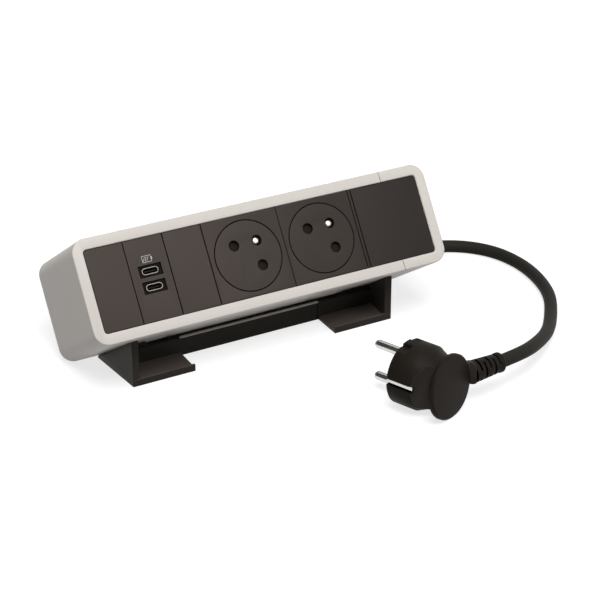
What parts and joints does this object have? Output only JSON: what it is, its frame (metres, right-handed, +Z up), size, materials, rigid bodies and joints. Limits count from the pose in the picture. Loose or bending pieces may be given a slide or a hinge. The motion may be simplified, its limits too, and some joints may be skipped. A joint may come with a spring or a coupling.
{
  "type": "desk power block",
  "caption": "Slanted desk power block on a wedge bracket: a row of flush pin sockets with sinking faces, a small charger and blank plates, with a flexible cord and an angled plug.",
  "frame": {"origin": "on the desk, at the middle of the footprint of the block and its bracket without the cord", "axes": "+X along the block to the right of someone facing the sockets, +Y away from them, +Z up"},
  "size_m": [0.2889, 0.2557, 0.0844],
  "materials": {
    "shell_plastic": "light warm grey moulded plastic, fine satin grain",
    "face_plastic": "dark anthracite moulded plastic, satin",
    "socket_plastic": "dark anthracite moulded plastic, satin",
    "inner_plastic": "black moulded plastic",
    "black_plastic": "black moulded plastic, slightly rough",
    "bracket_plastic": "near-black moulded plastic",
    "soft_rubber": "black rubber",
    "cord_rubber": "near-black flexible cord sheath",
    "spring_steel": "bright spring wire",
    "zinc_steel": "zinc plated steel",
    "port_steel": "bright stamped steel",
    "nickel_brass": "nickel plated brass",
    "contact_brass": "bare brass",
    "board_green": "green lacquered circuit board",
    "core_brown": "brown core insulation",
    "core_blue": "blue core insulation",
    "core_green_yellow": "green and yellow core insulation",
    "tongue_plastic": "dark grey plastic tongue with gilt contacts",
    "earth_tip": "bright nickel plated pin"
  },
  "bodies": {
    "base": {"bracket_screws": "zinc_steel", "centre_blank_plate": "face_plastic", "coil_ties": "black_plastic", "cord_boot": "soft_rubber", "cord_clamp": "inner_plastic", "cord_clamp_screws": "zinc_steel", "cord_coil": "cord_rubber", "cord_from_block": "cord_rubber", "cord_inner_end": "cord_rubber", "cord_to_plug": "cord_rubber", "desk_bracket": "bracket_plastic", "disc_spring_1": "spring_steel", "disc_spring_2": "spring_steel", "divider_strip": "face_plastic", "earth_core_wire": "core_green_yellow", "earth_pin_1": "earth_tip", "earth_pin_2": "earth_tip", "earth_strip": "contact_brass", "end_cap_plate": "face_plastic", "grip_pads": "soft_rubber", "housing_shell": "shell_plastic", "left_blank_plate": "face_plastic", "live_contact_1": "contact_brass", "live_contact_2": "contact_brass", "live_core_wire": "core_brown", "live_strip": "contact_brass", "module_frame": "inner_plastic", "neutral_contact_1": "contact_brass", "neutral_contact_2": "contact_brass", "neutral_core_wire": "core_blue", "neutral_strip": "contact_brass", "plug_body": "black_plastic", "plug_earth_clips": "nickel_brass", "plug_pins": "nickel_brass", "plug_strain_relief": "soft_rubber", "rear_cover": "shell_plastic", "rear_cover_screws": "zinc_steel", "right_blank_plate": "face_plastic", "right_end_cap": "shell_plastic", "socket_case_1": "inner_plastic", "socket_case_2": "inner_plastic", "socket_plate_1": "face_plastic", "socket_plate_2": "face_plastic", "terminal_block": "inner_plastic", "terminal_screws": "zinc_steel", "usb_capacitor": "inner_plastic", "usb_charger_case": "inner_plastic", "usb_circuit_board": "board_green", "usb_feed_pins": "contact_brass", "usb_plate": "face_plastic", "usb_port_shells": "port_steel", "usb_port_tongues": "tongue_plastic", "usb_transformer": "inner_plastic"},
    "disc_1": {"socket_disc_1": "socket_plastic", "shutter_clip_1": "spring_steel"},
    "disc_2": {"socket_disc_2": "socket_plastic", "shutter_clip_2": "spring_steel"},
    "shutter_1": {"pin_shutter_1": "inner_plastic"},
    "shutter_2": {"pin_shutter_2": "inner_plastic"}
  },
  "joints": [
    {"name": "disc_1_slide", "type": "slide", "parent": "base", "child": "disc_1", "axis": [0, 0.829, -0.5592], "range_m": [0, 0.015], "stiffness_N_per_m": 150, "springref_m": -0.015, "deforming": ["disc_spring_1"]},
    {"name": "disc_2_slide", "type": "slide", "parent": "base", "child": "disc_2", "axis": [0, 0.829, -0.5592], "range_m": [0, 0.015], "stiffness_N_per_m": 150, "springref_m": -0.015, "deforming": ["disc_spring_2"]},
    {"name": "shutter_1_turn", "type": "hinge", "parent": "disc_1", "child": "shutter_1", "pos_m": [-0.011, -0.02425, 0.05896], "axis": [0, -0.829, 0.5592], "range_deg": [0, 40], "stiffness_Nm_per_rad": 0.002, "springref_deg": -17.19},
    {"name": "shutter_2_turn", "type": "hinge", "parent": "disc_2", "child": "shutter_2", "pos_m": [0.034, -0.02425, 0.05896], "axis": [0, -0.829, 0.5592], "range_deg": [0, 40], "stiffness_Nm_per_rad": 0.002, "springref_deg": -17.19}
  ]
}
